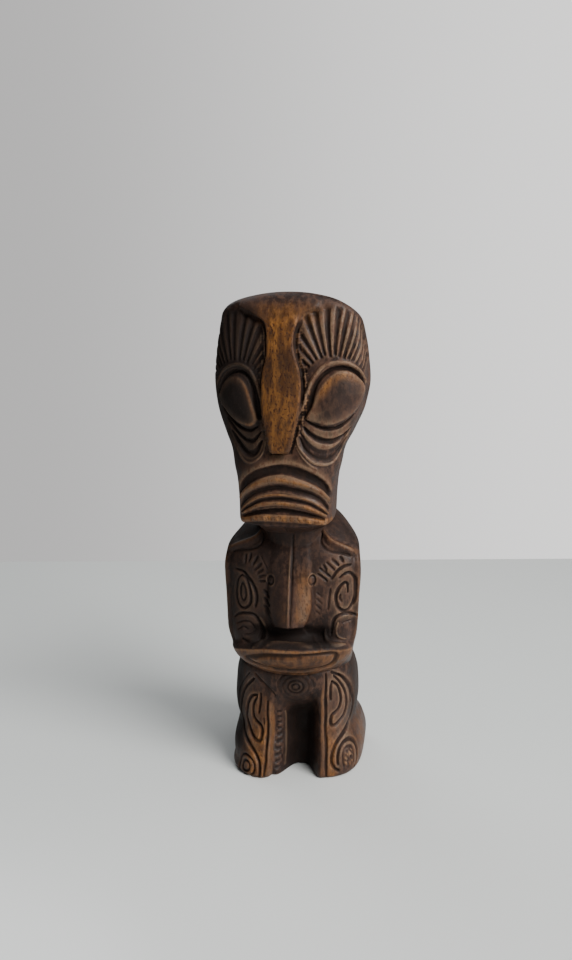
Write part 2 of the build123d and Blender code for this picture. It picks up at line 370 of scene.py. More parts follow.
LID_RIDGE = {
    1: [(4.5, 91.8), (5, 93.5), (5.9, 96.7), (7, 99.4), (8.5, 101.5), (10.1, 102.9), (12.7, 103.7),
        (15.4, 103.7), (18, 102.7), (20.5, 101.2), (23.2, 98.8)],
    -1: [(4.6, 91.4), (5.2, 94.9), (6.3, 98.3), (8, 101.6), (10.4, 103.1), (13, 102.9), (15.9, 101.2),
        (18.6, 98)],
}
LID_GROOVE = {
    1: [(5.3, 91.4), (6.5, 93.8), (7.1, 96.4), (8.2, 99.1), (10.2, 101.2), (12.7, 102.4), (15.4, 102.5),
        (18.2, 101.6), (20.6, 100), (22.6, 98)],
    -1: [(5.5, 91.2), (6.2, 94.4), (7.2, 97.8), (8.8, 100.5), (10.8, 101.6), (13, 101.2), (15.4, 99.4),
        (17.4, 96.6)],
}
EYEBALL = {
    1: [(6, 90.8), (7.3, 93.5), (8.2, 96.4), (9.5, 98.8), (11.4, 100.6), (13.7, 101.7), (16.1, 101.7),
        (18.7, 100.4), (21.6, 98.2), (21.8, 95.8), (19.6, 93), (16.6, 90.9), (13.7, 89.7), (11.3, 89.3),
        (8.3, 90)],
    -1: [(6.1, 90.2), (7, 93.2), (8.1, 96.4), (9.5, 99), (11.4, 100.3), (13.8, 99.8), (16.2, 97.8),
        (17.2, 95.2), (15.4, 92.4), (12.6, 90.2), (9.6, 88.7), (7.4, 88.6)],
}
# Lower lids: hollow bands under the eyeball, then the rim below them, which is proud.
LOWER_LIDS = {
    1: [
        ([(5.5, 90.6), (8.4, 89.2), (11.3, 88.4), (13.8, 88.6), (16.7, 89.9), (19.6, 92.1)], 1.2, 0.85),
        ([(5.2, 89), (6.7, 87.5), (9.1, 86), (12.1, 85.3), (15.3, 86.1), (18.4, 88.2)], 2, 0.85),
        ([(4.6, 87.4), (6.2, 84.8), (8.2, 83.1), (10.5, 82.5), (12.8, 82.8), (15, 84.3), (17.1, 86.9)],
          2.8, 0.4),
        ([(4.4, 86.4), (5.6, 83.7), (7.8, 81.9), (10.4, 81.2), (12.9, 81.5), (15.4, 83.2), (17.3, 86)],
          1.9, 0.6),
        ([(3.6, 86.4), (4.4, 83.6), (7.4, 80.6), (10.4, 79.9), (13.3, 80.6), (16.2, 83)], 0.8, -0.3),
        ([(3.2, 84.6), (5, 81.7), (7.2, 79.7), (9, 78.8)], 0.6, -0.25),
    ],
    -1: [
        ([(6, 88.6), (8.1, 87.5), (10.6, 88.2), (13.4, 90.3), (16.2, 93.2)], 1.2, 0.85),
        ([(5.2, 87.4), (7.2, 85.2), (9.5, 85.3), (12.2, 87.5), (14.8, 90.6)], 1.5, 0.8),
        ([(4.9, 85.4), (6.8, 82.4), (9.1, 82.3), (11.2, 84.2), (13.4, 87.2)], 2.3, 0.95),
        ([(3.9, 86), (4.9, 82), (7.4, 79.9), (10, 80.7), (12.8, 83.8), (15, 87.4)], 0.8, -0.3),
    ],
}

# Mouth: half arcs from the middle out, mirrored; width and depth, a negative depth is proud.
MOUTH_MIDDLE = 0.5
MOUTH_ARCS = [
    ([(0, 78.7), (5.3, 77.5), (9.4, 75.3), (12.4, 72.6)], 3.1, 1.15),
    ([(0, 76.2), (5, 75.4), (8.7, 73.7), (12, 71.1)], 1.7, -0.45),
    ([(0, 74.4), (5.4, 73.4), (9.2, 71.5), (12, 69.1)], 2, 0.8),
    ([(0, 72.7), (5.2, 72), (8.6, 70.3), (11.8, 68)], 0.7, -0.4),
    ([(0, 71.8), (5, 71.1), (8.2, 69.6), (11.3, 67.8)], 0.9, 0.5),
    ([(0, 70.6), (5, 70.1), (8, 68.9), (10.8, 67.6)], 1.5, -0.5),
    ([(0, 68.9), (5, 68.3), (8.2, 67.4), (10.2, 66.8)], 1.4, 0.85),
]
LOWER_LIP = 67


def mirrored(points):
    """A half outline from the middle out, completed on the other side."""
    return [(-x, z) for x, z in points[:0:-1]] + list(points)


def carve_head():
    block = Block(HEAD_RINGS, widest=11, carved_width=23.5, carved_low=62, carved_high=117.8)
    m = head_measures(block)
    head_forms(block, m)
    head_lines(block, m)
    head_colours(block, m)
    return block


def head_measures(block):
    """Places on the head, and distances from the ridge, the crown edge and the eyeballs."""
    m = SimpleNamespace()
    m.across = block.across + HAND_WANDER * waves(block.points, 11, 1)
    m.up = block.up + HAND_WANDER * waves(block.points, 9, 2)
    m.side = np.abs(m.across)
    crown_back = smooth(111, 115, m.up) * smooth(-10, -4, block.points[..., 1])
    m.in_front = smooth(31, 26, m.side) * (1 - crown_back)
    middle = -0.35 * smooth(103, 109, m.up) - 1.2 * smooth(112.6, 115.3, m.up)
    m.from_ridge = np.abs(m.across - middle) - level_on(RIDGE, m.up)
    m.on_ridge = np.minimum(-m.from_ridge, m.up - RIDGE_FOOT)
    m.flare = smooth(111, 115, m.up) * smooth(-6, 1, m.across)
    m.below_crown = level_on(CROWN_EDGE, m.side) - m.up - 0.8 * smooth(-5, -9, m.across)
    m.eyeball = {}
    for hand in (1, -1):
        m.eyeball[hand] = within(m.across * hand, m.up, path(EYEBALL[hand], closed=True))
    return m


def head_forms(block, m):
    """The ridge stands proud; the fans, eyes and cheeks lie back from the crown."""
    edge = 0.28 + 1.6 * m.flare
    panel = smooth(-2.4, 1.2, m.below_crown) * smooth(-edge, edge, -m.on_ridge) * m.in_front
    beside_ridge = np.exp(-(m.from_ridge / 2.4) ** 2) * (m.on_ridge < 0)
    block.push((-PANEL_DEPTH - 0.55 * beside_ridge) * panel * smooth(77.5, 84, m.up))
    ridge_rise = smooth(-0.2, 0.35, m.on_ridge) * smooth(116, 104, m.up)
    rounded = 0.1 * np.clip(m.side - 2, 0, 3)
    block.push(ridge_rise * (0.5 + 0.5 * smooth(104, 86, m.up) - rounded))


def head_lines(block, m):
    """Edge of the ridge, eyes, rays and mouth, and a rough strip beside the ridge, with worn flecks and
    painted glints on its right.
    """
    across, up = m.across, m.up
    relief = -0.5 * stripe(m.on_ridge, -0.32, 0, 0.55) * smooth(115.6, 113, up + 2 * m.flare)
    for hand in (1, -1):
        relief += carve_eye(block, across * hand, up, hand, m.eyeball[hand])
        relief += rays(across * hand, up, m.on_ridge, m.below_crown, hand)
    relief += mouth(block, across - MOUTH_MIDDLE, up)
    rough = band(m.from_ridge, 0.2, 0.6, 1, 2.3) * band(up, 84, 90, 110, 112.5)
    speckle = waves(block.points, 0.8, 5)
    relief += 0.12 * speckle * rough
    block.carve(relief)
    # Pale flecks on the right of the rough strip: worn flecks with painted glints.
    flecks = smooth(0.2, 0.7, speckle) * rough * (across > 0)
    block.lighten(0.9 * flecks)
    block.pale = flecks
    block.relief += 0.5 * flecks


def head_colours(block, m):
    """Gold on the ridge and the crown, painted shade over the left side, and more stain at the ridge's
    waist.
    """
    across, up, side = m.across, m.up, m.side
    ridge_face = smooth(0, 0.5, m.on_ridge)
    ridge_face *= smooth(117.5, 111.5, up + 0.6 * np.clip(side - 3, 0, 9))
    crown_glow = smooth(14, 2, side) * band(up, 112, 114, 115, 118.6)
    block.lighten(np.maximum(ridge_face, 0.5 * crown_glow * m.in_front))

    left_ball, left = m.eyeball[-1], across < 0
    rim = band(left_ball, 0, 0.3, 0.4, 1.1) * smooth(13, 8, side) * left
    block.lighten(0.45 * rim)
    # Painted shade over the left side of the face, weaker on the crown and deepest in the middle of the
    # left eyeball.
    pupil = smooth(0.8, 2.4, left_ball) * left
    shaded = smooth(-3, -8, across) * smooth(70, 84, up) * m.in_front
    shaded *= 0.35 + 0.65 * smooth(-1, 0.6, m.below_crown)
    block.darken((0.95 + 0.2 * pupil) * shaded)
    block.stain_and_shade *= 1 - 0.6 * rim
    block.darken(0.58 * (np.exp(-((up - 103.6) / 3.8) ** 2) * smooth(0.3, 1.4, m.on_ridge)))
    block.darken(0.46 * smooth(112, 104, up) * smooth(0, 0.5, m.on_ridge))


def carve_eye(block, side, up, hand, ball):
    """Upper lid, sagging lower lids and eyeball; ball is the distance inside its outline."""
    here = smooth(0.5, 2, side)
    dome = 1 - (1 - np.clip(ball / 6, 0, 1)) ** 2
    shape = 0.4 * smooth(-0.5, 0.4, ball) + EYEBALL_HEIGHT * dome
    shape += LID_HEIGHT * stroke(side, up, LID_RIDGE[hand], 1.2, taper=0.35)
    groove_width = 1.3 + 0.8 * smooth(100, 94, up)
    away, _ = near(side, up, path(LID_GROOVE[hand]))
    lid_groove = smooth(1, 0.15, 2 * away / groove_width)
    shape -= LID_GROOVE_DEPTH * lid_groove * smooth(24, 22, side)
    shape += cuts(side, up, LOWER_LIDS[hand], taper=0.8)
    rim = band(ball, 0, 0.8, 1, 3) * smooth(95, 99, up - 0.4 * (side - 12))
    block.lighten((0.4 + 0.3 * hand) * rim * here)
    block.darken(0.45 * smooth(1.2, 3.2, ball) * here)
    return shape * here


def rays(side, up, on_ridge, below_crown, hand):
    """Gouged rays that spread from the upper lid towards the crown, each a little different."""
    random = np.random.default_rng(40 + hand)
    centre = RAY_CENTRE[hand]
    dx, dz = side - centre[0], up - centre[1]
    angle, radius = np.degrees(np.arctan2(dz, dx)), np.hypot(dx, dz)
    lid_away, _ = near(side, up, path(LID_RIDGE[hand]))
    room = smooth(0.6, 1.3, lid_away) * smooth(-0.7, -1.3, on_ridge) * smooth(-0.6, 0.8, below_crown)
    total = np.zeros(side.shape)
    step = (RAY_LAST - RAY_FIRST) / (RAY_COUNT - 1)
    for i in range(RAY_COUNT):
        wanted = RAY_FIRST + step * i + random.uniform(-1.3, 1.3)
        inner = random.uniform(6.6, 7.4)
        outer = random.uniform(19.6, 21.2)
        beside = np.abs(np.radians(angle - wanted)) * radius
        half = 0.36 * radius * abs(math.radians(step)) + 0.1
        length = band(radius, inner, inner + 0.6, outer - 1.8, outer)
        total -= RAY_DEPTH[hand] * smooth(1, 0.1, beside / half) * length
    return total * room * (side > 0)


def mouth(block, across, up):
    """Frowning mouth of nested arcs over a straight, pitted lower lip."""
    side = np.abs(across)
    inside = smooth(13.2, 11.4, side)
    total = np.zeros(across.shape)
    for line, width, depth in MOUTH_ARCS:
        flat = 0.35 if depth > 0.8 else 0
        total -= depth * stroke(across, up, mirrored(line), width, taper=0.45, flat=flat) * inside
        if depth < 0:
            worn = stroke(across, up, mirrored(line), width * 1.1, taper=0.3) * inside
            block.lighten(0.6 * worn)
    lip_line = LOWER_LIP - np.minimum(side / 12, 1) ** 2
    lip_band = stripe(up, lip_line, 0.35, 1.15)
    total += (0.7 + 0.12 * waves(block.points, 1.6, 7)) * lip_band * smooth(12.6, 9, side)
    block.lighten(0.75 * lip_band * (side < 15))
    below = smooth(65.2, 64.2, up)
    total -= 0.25 * stripe(across, 0, 0.08, 0.45) * below
    # Painted shade under the chin, below the lower lip.
    block.darken(0.4 * below)
    return total


# ---- torso ----
SHOULDER_LINE = [(0, 66), (6, 65), (7.6, 62.6), (9.2, 61), (11, 60.1), (13, 59.3),
                 (16, 58), (18.5, 56.8), (24, 50)]
SHOULDER_GROOVE = [(7.3, 61.6), (7.3, 60.2), (8.2, 59), (10.2, 58.1), (12.8, 57.5), (15.4, 56.6)]
CHEST_NOSE = [(38, 4.2), (41, 5.2), (46, 5.3), (52, 4.9), (58, 4.4), (64, 4.2)]
CHEST_LIP_BOTTOM = [(0, 27), (5, 27.3), (9.5, 28.4), (13, 29.8), (16, 31.6), (19.5, 33.8)]
CHEST_LIP_TOP = [(-20, 32), (-15, 32.6), (-10, 34.1), (-5, 34.8), (0, 34.8), (8, 34.9),
                 (12, 34.6), (16, 33.9), (20, 33.4)]
CHEST_MOUTH = [(-10.2, 31.9), (-6.5, 32.9), (0.1, 33.4), (5.1, 33.7), (9.4, 34), (11, 33.3),
               (10, 31.5), (6.8, 30.4), (1.8, 29.7), (-3.3, 29.7), (-7.1, 30.6)]
UPPER_LIP = [(-5.4, 35.1), (-2.4, 35.5), (2, 35.5), (6.2, 35.2)]
RING_MARK = {1: (5.5, 51.2), -1: (4.8, 50.8)}
SCRATCH = [(-7.7, 56.8), (-5.6, 53.2)]

MASK_STEP = 0.6                # the mask stands this far out from the shoulders
FIELD_DEPTH = 0.8              # its face lies this far behind its rim
NOSE_HEIGHT = 2.9
NOSE_SLOPE = 0.34              # fall of the nose per millimetre away from its crest

# The neck seen from above: a rounded front about a centre behind the head's chin.
NECK_CENTRE_Y = -1.9
NECK_HALF_WIDTH = 8.8
NECK_REACH = 11.2
NECK_SQUARENESS = 2.4

# Lines of the mask on each hand, (from the middle, up): points, width, depth.
CHEST_LINES = {
    1: [
        ([(12.2, 51.7), (13.5, 52.8), (15, 52.9), (16.2, 51.6), (16.5, 49), (16.4, 46), (15, 43.9),
          (13.4, 43.5), (12, 44.5), (11.4, 46.5), (11.8, 48.4), (12.7, 49.8), (13.6, 50.5), (14.3, 50),
          (14.5, 47.8)], 0.95, 0.55),
        ([(12.6, 47.6), (12.4, 46.6), (12.9, 45.7)], 0.7, 0.35),
        ([(10.3, 51.4), (11.6, 53.4), (13.1, 54.5), (15, 54.8)], 0.9, 0.5),
        ([(10.1, 49), (9.7, 46.6), (9.4, 44)], 0.7, 0.35),
        ([(10.4, 37.4), (10.6, 39.8), (11.3, 42), (13.2, 42.8), (15.2, 42.6), (17.4, 41.4)], 0.95, 0.5),
        ([(13.2, 40.6), (15.6, 40.9)], 0.6, 0.3),
        ([(12, 40.6), (11.6, 38.4), (12.4, 36.8), (14.4, 36.2)], 0.7, -0.28),
        ([(9, 38.6), (9.1, 36.6), (10.4, 35.5), (13.4, 35.1)], 0.9, -0.4),
        ([(6.5, 48), (7.9, 46.9)], 0.6, 0.25),
        ([(6.5, 46.5), (7.8, 45.5)], 0.6, 0.25),
        ([(6.4, 45), (7.6, 44.1)], 0.6, 0.25),
        ([(6.4, 43.5), (7.5, 42.7)], 0.6, 0.25),
        ([(6, 36.9), (8, 35)], 0.5, -0.2),
    ],
    -1: [
        ([(12.1, 51.6), (11, 50.6), (10.1, 48.4), (9.8, 46), (10.3, 44.2), (11.8, 43.2), (13.2, 43.8),
          (13.9, 45.6), (13.8, 48.2), (13.2, 50.6), (12.2, 51.6)], 0.8, 0.5),
        ([(12, 49.6), (11.3, 48.2), (11.2, 46.2), (11.8, 45.1), (12.5, 45.8), (12.6, 47.8),
          (12.1, 49.5)], 0.55, 0.4),
        ([(14, 53), (11.9, 52.5), (10.6, 51.1), (9.3, 49.4), (8.5, 47.6), (8.3, 45.8), (8.7, 43.9)],
          0.95, 0.55),
        ([(14.8, 40.6), (13.3, 41.6), (11.1, 42), (9.2, 41.7), (7.8, 40), (7.3, 38), (8, 36),
          (10, 35.1), (12.4, 35.2)], 0.95, 0.5),
        ([(13.9, 39.2), (11.7, 39.9), (9.9, 39.4), (9.2, 37.6), (10.2, 36.6), (11.8, 36.4)], 0.6, 0.35),
        ([(13.6, 37.6), (12.1, 38.5), (11, 38)], 0.6, 0.35),
        ([(7.6, 41), (6.6, 39.2), (6.2, 37.4), (6.6, 35.6), (8.4, 34.7)], 0.9, -0.35),
        ([(6.1, 43.2), (4.4, 39.8)], 0.7, 0.4),
    ],
}
# Brow rays: start and end of each.
BROW_RAYS = {
    1: [((7.3, 54.2), (10, 51.9)), ((6.9, 52.7), (9.2, 50.9)), ((9, 55.6), (10.9, 53.6)),
        ((10.2, 56.3), (11.8, 54.8)), ((8.2, 55), (9, 53.4)), ((12.2, 56.8), (12.9, 55.6))],
    -1: [((11.4, 56.6), (11.5, 54.7)), ((10.1, 56.9), (10.6, 55.1)), ((8.5, 56.3), (9.5, 54.3)),
        ((7.4, 54.7), (9, 52.9)), ((6.9, 53.2), (8.3, 52.1)), ((6.5, 51.8), (7.8, 51.2)),
        ((6.3, 50.3), (7.6, 50.1)), ((6.5, 48.1), (5.2, 46.5)), ((6.4, 46.2), (5.1, 44.7)),
        ((6.4, 44.4), (5, 43))],
}


def carve_torso():
    block = Block(TORSO_RINGS, widest=6, carved_width=20, carved_low=27.5, carved_high=62.5)
    m = torso_measures(block)
    torso_forms(block, m)
    torso_lines(block, m)
    torso_colours(block, m)
    return block


def torso_measures(block):
    """Places on the torso, and distances from the shoulder line, the shelf lip and the nose."""
    m = SimpleNamespace()
    m.across = block.across + HAND_WANDER * waves(block.points, 10, 11)
    m.up = block.up + HAND_WANDER * waves(block.points, 8, 12)
    m.side = np.abs(m.across)
    m.below_shoulder = level_on(SHOULDER_LINE, m.side) - m.up
    m.above_lip_bottom = m.up - level_on(CHEST_LIP_BOTTOM, m.side)
    m.above_lip = m.up - level_on(CHEST_LIP_TOP, m.across)
    m.nose_half = level_on(CHEST_NOSE, m.up)
    m.nose_face = smooth(0.9, -0.6, m.side - m.nose_half)
    m.upper_lip = stroke(m.across, m.up, UPPER_LIP, 0.7, taper=0.7)
    return m


def torso_forms(block, m):
    """The mask stands proud of the shoulders, with a long nose and a shelf lip."""
    across, up, side = m.across, m.up, m.side
    soft = 4.5 * smooth(13, 17.5, side)
    block.push(MASK_STEP * smooth(-0.5 - soft, 0.4 + soft, m.below_shoulder) * smooth(19.6, 17.8, side))
    field = smooth(0.8, 1.8, np.minimum(17.8 - side, m.below_shoulder)) * smooth(0.4, 1.8, m.above_lip)
    block.push(-FIELD_DEPTH * field * smooth(64, 60, up))

    nose_length = smooth(37.1, 39.4, up) * (0.12 + 0.88 * smooth(59, 43.5, up))
    crest = NOSE_HEIGHT - NOSE_SLOPE * np.sqrt((across - 0.3) ** 2 + 0.6)
    block.push(crest * m.nose_face * nose_length)
    bring_neck_forward(block, up)

    hollow = np.exp(-((side - 6.6) / 3.6) ** 2 - ((up - 38.6) / 3.4) ** 2)
    under_nose = smooth(39.8, 37.4, up) * smooth(13, 6, side)
    block.push((-1.4 * hollow - 1.2 * under_nose) * smooth(0.6, 2.2, m.above_lip))
    lip = smooth(1.1, 0, m.above_lip) * smooth(-1.2, 0.8, m.above_lip_bottom) * smooth(18.5, 13, side)
    boat = 0.7 + 2.2 * smooth(16, 2, side)
    block.push(boat * lip * (0.25 + 0.75 * smooth(26.5, 34, up)))


def bring_neck_forward(block, up):
    """Bring the front of the neck out to a rounded column under the chin."""
    x, y = block.points[..., 0], block.points[..., 1]
    fullness = np.clip(1 - (np.abs(x) / NECK_HALF_WIDTH) ** NECK_SQUARENESS, 0, 1)
    reach = NECK_REACH * fullness ** (1 / NECK_SQUARENESS)
    column = band(up, 56.5, 60, 62.5, 64.5) * (y < 0)
    y -= np.maximum(y - NECK_CENTRE_Y + reach, 0) * (reach > 0) * column


def torso_lines(block, m):
    """Nose crest, mouth, rim of the mask, and on each hand its lines, rays, ring and groove."""
    across, up, side = m.across, m.up, m.side
    crest_line = smooth(38.6, 40.4, up)
    relief = 0.15 * stripe(across, -0.1, 0.1, 0.35) * crest_line * smooth(60, 54, up)
    relief -= 0.32 * stripe(across, 0.55, 0.08, 0.42) * crest_line
    relief -= 0.28 * stripe(side, m.nose_half + 0.5, 0, 0.6) * smooth(39, 41, up) * (up < 50)
    mouth_edge = within(across, up, path(CHEST_MOUTH, closed=True))
    relief -= 0.6 * stripe(mouth_edge, 0, 0.1, 0.75) + 0.15 * smooth(0, 0.8, mouth_edge)
    relief += 0.22 * m.upper_lip
    relief += 0.18 * stripe(m.below_shoulder, 0.45, 0, 0.6) * band(side, 6, 9, 14.5, 17)
    for hand in (1, -1):
        here = across * hand > 0
        relief += cuts(across * hand, up, CHEST_LINES[hand], widen=1.15, flat=0.25) * here
        for ray in BROW_RAYS[hand]:
            relief -= 0.42 * stroke(across * hand, up, ray, 0.95, taper=0.4, flat=0.2) * here
        centre = (RING_MARK[hand][0] * hand, RING_MARK[hand][1])
        relief -= 0.34 * oval_ring(across, up, centre, 0.72, 1.5, 0.55)
        relief += 0.18 * oval_ring(across, up, centre, 1.15, 1.4, 0.4)
        relief -= 0.4 * stroke(across * hand, up, SHOULDER_GROOVE, 1, taper=0.6) * here
    relief -= 0.3 * stroke(across, up, SCRATCH, 0.5)
    block.carve(relief * smooth(21, 18.6, side))


def torso_colours(block, m):
    """Wear on the nose, the lip and the rim, with painted highlight and sheen on the nose and painted
    rim light on the left edge; painted shade under the nose, over the left and on the neck under the
    chin, and stain behind.
    """
    across, up, side = m.across, m.up, m.side
    # The right facet of the nose is rubbed gold, partly real wear and partly painted highlight, with a
    # pale patch of painted sheen.
    facet = band(across, 0.9, 2.2, 4.6, 5.9) * smooth(39.5, 41.5, up)
    polish_and_sheen = np.exp(-((across - 3.8) / 1.9) ** 2) * smooth(55, 46, up)
    block.lighten(facet * (0.15 * smooth(57, 51, up) + 0.58 * polish_and_sheen))
    block.pale = 0.75 * facet * polish_and_sheen
    block.lighten(0.25 * np.exp(-((across + 1.4) / 0.9) ** 2 - ((up - 42.5) / 2.4) ** 2))
    lip_front = smooth(0.1, -0.2, m.above_lip) * smooth(-0.6, 0.6, m.above_lip_bottom)
    lip_front *= smooth(19.5, 16.5, side)
    lip_edge = lip_front * smooth(-1, -0.4, m.above_lip)
    block.lighten(0.3 * lip_front + 0.22 * lip_edge)
    block.relief += 0.18 * lip_edge

    top_rim = stripe(m.below_shoulder, 0.45, 0.2, 0.8) * band(side, 6, 9, 18.5, 20)
    side_rim = stripe(side, 17.6, 0.4, 1.3) * band(up, 33, 36, 55, 58)
    # Painted rim light: a lighter band down the left edge of the mask.
    left_lit_edge = stripe(across, -19.2, 1, 2.2) * band(up, 33, 36, 55, 59)
    rim = np.maximum(np.maximum(top_rim, side_rim), 0.9 * left_lit_edge)
    block.lighten(0.22 * rim + 0.2 * left_lit_edge)

    # Painted shade in the hollow under the nose, on top of the lip.
    shade = 1.12 * smooth(0, 0.3, m.above_lip) * smooth(41, 38.5, up) * smooth(15, 9, side)
    block.darken(shade * (1 - m.nose_face * smooth(37.6, 38.8, up)))
    # Painted shade over the left side of the mask, except the front of the lip.
    block.darken(0.74 * smooth(0, -3, across) * smooth(36, 26, side) * (1 - lip_front))
    block.darken(0.45 * smooth(17, 20, side))
    # Painted shade on the neck under the chin.
    block.darken(0.5 * smooth(51, 57, up) * smooth(10, 7, side))
    block.darken(0.6 * smooth(-0.2, -1.4, m.below_shoulder) * smooth(5, 8, side))
    block.stain_and_shade *= 1 - np.maximum(0.8 * rim, 0.25 * m.upper_lip)


# ---- lower body ----
NAVEL = (1.3, 23.5)
NAVEL_RINGS = [(0.95, 0.34), (1.95, 0.34), (3.2, 0.18), (4.4, 0.14)]    # radius, depth
# Legs, (across, up): points, width, depth.
LEG_LINES = [
    ([(-8.9, 19.9), (-10.6, 19.2), (-11.9, 16.8), (-12.4, 13.4), (-11.5, 11.1), (-9.9, 9.4),
      (-8.6, 8.7), (-7.6, 8.9), (-7.4, 10.6), (-7.9, 12.2), (-9.3, 13.3), (-10.1, 15), (-9.9, 17.4),
      (-8.9, 19.4)], 1, 0.6),
    ([(-7.8, 20.4), (-7.9, 18.1), (-8.3, 15.5)], 0.9, 0.5),
    ([(-6.9, 14.3), (-6.8, 12.7)], 0.5, 0.3),
    ([(-5.8, 18.8), (-5.9, 12.4), (-5.8, 6.6), (-6, 2.7), (-6.1, -1)], 0.8, 0.5),
    ([(-9.9, 24), (-13, 20.6), (-14.7, 16.6), (-15.4, 12.9), (-14.5, 10.2), (-12.6, 8.7), (-10.7, 7.7),
      (-8.9, 6.3), (-7.8, 4.6), (-7.4, 2.6), (-7.4, -1)], 1.05, 0.6),
    ([(-11.6, 25.2), (-14.3, 22), (-16.2, 18), (-16.5, 14)], 0.8, 0.3),
    ([(-9.4, 25.6), (-7.4, 24), (-5.4, 22.4), (-3.8, 20.6)], 0.7, 0.25),
    ([(-1.6, 15.8), (-1.5, 8.8), (-1.4, 2)], 0.6, -0.25),
    ([(10.7, 24.2), (10.3, 22.7), (10.3, 19.6)], 0.8, 0.45),
    ([(10.6, 24.2), (12.3, 22.8), (13.1, 20.6), (13.3, 18.6), (12.6, 16.8), (11.6, 16), (10.8, 15.4),
      (10.5, 14), (10.8, 12.8), (11.6, 12.5), (12.9, 13.2), (14.5, 14.5), (15.4, 16.3), (15.5, 18.5),
      (14.6, 21.1), (12.8, 23.9), (11.2, 25.6)], 1, 0.55),
    ([(8.9, 26.4), (9, 18), (9.1, 11.9), (9.2, 6.4), (9.3, -1)], 0.8, 0.5),
    ([(10.6, 26.6), (14.2, 24.6), (16.8, 21.6), (18.3, 18.8), (18.9, 16), (18, 13.2), (16, 11.3),
      (13.6, 9.9), (11.8, 8.4), (10.9, 6.4), (10.7, 4.2), (11.4, 2.6), (12.6, 1.8)], 1.05, 0.6),
    ([(12.9, 25.8), (15, 23.2), (16.9, 20), (17.3, 17.4)], 0.7, 0.3),
    ([(12.4, 3.4), (12.4, 5.4), (12.8, 7), (14, 8.2), (15.9, 8.5), (18, 7.4), (19, 5.6), (19.4, 2.8),
      (18.6, 1.2)], 0.95, 0.5),
    ([(14, 2.6), (13.9, 5.6), (14.8, 6.9), (16.3, 6.9), (17.4, 5.4), (17.5, 2.6)], 0.6, 0.3),
]
FOOT_CENTRE = (-11.6, 2.4)
FOOT_RINGS = (1.3, 2.8)        # radii of the rings on the left foot
STIPPLED_FOOT = (15.8, 4.2)
NOTCH_COLUMN = -3              # a column of notches stands here, in the channel
NOTCH_STEP = 1.5

CHANNEL_DEPTH = 7.4
LEFT_FOOT_LENGTH = 2.3         # the left foot comes this far forward of the block
TOE_CORNER_CUT = 1.1
LEFT_HIP_CUT = 1
BELLY_HEIGHT = 0.8


def carve_lower_body():
    block = Block(LEG_RINGS, widest=3, carved_width=21, carved_low=0.3, carved_high=27.3,
                  foot_shift=FOOT_SHIFT)
    across = block.across + 0.1 * waves(block.points, 9, 21)
    up = block.up + 0.08 * waves(block.points, 8, 22)
    channel = leg_forms(block, across, up)
    dots = leg_lines(block, across, up)
    leg_colours(block, across, up, channel, smooth(0.2, 0.8, dots))
    return block


def leg_forms(block, across, up):
    """The channel between the legs, the left foot and the belly; returns the channel's share."""
    # The channel deepens downwards; its left side slopes, its right side is steep.
    top = 21 + 3.4 * smooth(3, 7.4, across)
    left_slope = 0.25 * smooth(-5.2, -4, across) + 0.75 * smooth(-3.4, 1.8, across)
    channel = left_slope * smooth(8.1, 3.4, across) * smooth(top + 0.6, top - 8, up)
    # Adding to x and y moves the points themselves.
    x, y = block.points[..., 0], block.points[..., 1]
    y += CHANNEL_DEPTH * channel
    y -= LEFT_FOOT_LENGTH * (smooth(0.5, -5, across) * smooth(13, 1, up) * smooth(8, -8, y))
    y += TOE_CORNER_CUT * (np.exp(-((across + 4.8) / 1.2) ** 2) * smooth(4.5, 0, up))
    x += LEFT_HIP_CUT * smooth(-9, -16, across) * band(up, 0.5, 3, 9, 14)
    belly = np.exp(-((across - NAVEL[0]) / 5.5) ** 2 - ((up - NAVEL[1]) / 3.2) ** 2)
    block.push(BELLY_HEIGHT * belly * smooth(27.4, 26, block.up))
    return channel


def leg_lines(block, across, up):
    """Leg lines, navel and foot rings, notches, and a stippled foot; returns its stipple."""
    relief = cuts(across, up, LEG_LINES, taper=0.35, widen=1.25, flat=0.25)
    for radius, depth in NAVEL_RINGS:
        relief -= depth * oval_ring(across, up, NAVEL, radius, 0.85, 0.75)
    for radius in FOOT_RINGS:
        relief -= 0.5 * oval_ring(across, up, FOOT_CENTRE, radius, 0.95, 0.9)
    notch = stripe((up / NOTCH_STEP) % 1, 0.5, 0.06, 0.36) * stripe(across, NOTCH_COLUMN, 0.45, 0.85)
    relief -= 0.35 * notch * smooth(16.8, 15.8, up)
    stippled = np.hypot((across - STIPPLED_FOOT[0]) / 1.8, (up - STIPPLED_FOOT[1]) / 3)
    dots = waves(block.points, 0.7, 23) * smooth(1, 0.7, stippled)
    relief += 0.2 * dots
    block.carve(relief * band(block.up, 0, 0.6, 26.9, 27.3))
    return dots


def leg_colours(block, across, up, channel, dots):
    """Wear on the legs' edges and fronts, the heel and the dots; painted shade in the channel, on the
    belly under the torso and over the left haunch, and darker on the right haunch.
    """
    left_arris = stripe(across, -4.7, 0.2, 0.8) * smooth(20, 17, up)
    right_arris = 0.8 * stripe(across, 8.2, 0.2, 0.6) * smooth(25, 20, up)
    arrises = np.maximum(left_arris, right_arris)
    left_front = stripe(across, -8, 1, 4.2) * smooth(23, 15, up)
    right_front = 0.85 * stripe(across, 10.6, 0.4, 2.4) * smooth(19, 9, up)
    heel = band(across, 16, 19, 26, 30) * smooth(13, 9, up)
    block.lighten(0.5 * arrises)
    block.lighten(0.62 * np.maximum(left_front, right_front))
    block.lighten(0.2 * heel)
    block.lighten(0.6 * dots)
    block.pale = 0.55 * np.maximum(arrises, dots)

    # Painted shade in the channel between the legs.
    block.darken(smooth(0.2, 0.6, channel))
    # Painted shade on the belly under the torso's lip.
    block.darken(0.65 * (np.exp(-((across - 1.6) / 4.4) ** 4) * smooth(15, 19, up)))
    haunch = smooth(34, 26, np.abs(across))
    # Painted shade over the left haunch.
    block.darken(1.05 * haunch * smooth(-11, -16, across) * smooth(3, 8, up))
    block.darken(0.75 * haunch * smooth(15, 19, across) * smooth(9, 14, up))


